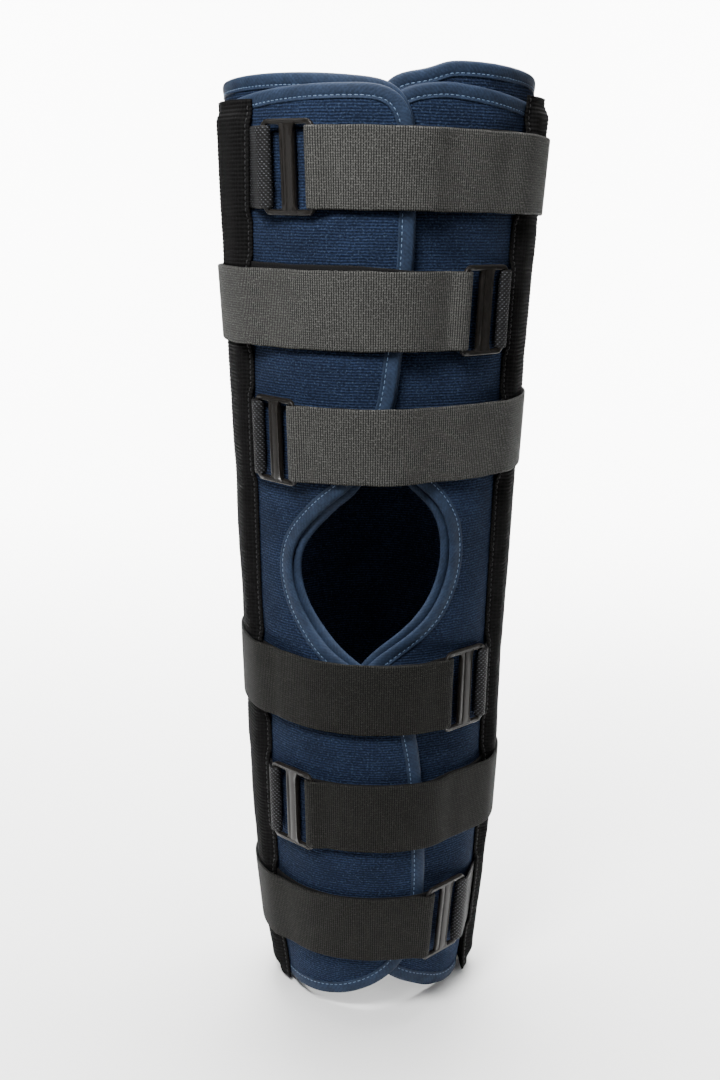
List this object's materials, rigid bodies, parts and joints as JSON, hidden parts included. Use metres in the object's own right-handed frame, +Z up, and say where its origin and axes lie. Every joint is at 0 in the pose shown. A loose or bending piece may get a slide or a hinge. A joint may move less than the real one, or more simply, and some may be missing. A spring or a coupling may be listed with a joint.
{
  "type": "knee immobilizer",
  "caption": "Long padded knee immobilizer, closed as worn: an open cloth sleeve with a kneecap opening, side panels, stay pockets and crossing straps in slide buckles",
  "frame": {"origin": "on the leg's axis at the middle of the kneecap opening", "axes": "+Z up the leg, -Y is the front, +X is the image's right"},
  "size_m": [0.2205, 0.2253, 0.6372],
  "materials": {
    "padded_cloth": "brushed loop knit over foam",
    "edge_binding": "smooth knitted bias tape, top-stitched",
    "pocket_cloth": "ribbed woven sleeve",
    "strap_webbing": "woven webbing",
    "tab_webbing": "twill webbing",
    "buckle_plastic": "moulded, low gloss"
  },
  "bodies": {
    "root": {"wrap": "padded_cloth", "wrap_binding": "edge_binding", "left_panel": "padded_cloth", "left_panel_binding": "edge_binding", "right_panel": "padded_cloth", "right_panel_binding": "edge_binding", "left_stay_pocket": "pocket_cloth", "right_stay_pocket": "pocket_cloth", "strap_1": "strap_webbing", "strap_2": "strap_webbing", "strap_3": "strap_webbing", "strap_4": "strap_webbing", "strap_5": "strap_webbing", "strap_6": "strap_webbing", "tab_1": "tab_webbing", "tab_2": "tab_webbing", "tab_3": "tab_webbing", "tab_4": "tab_webbing", "tab_5": "tab_webbing", "tab_6": "tab_webbing", "buckle_1": "buckle_plastic", "buckle_2": "buckle_plastic", "buckle_3": "buckle_plastic", "buckle_4": "buckle_plastic", "buckle_5": "buckle_plastic", "buckle_6": "buckle_plastic"}
  },
  "joints": []
}
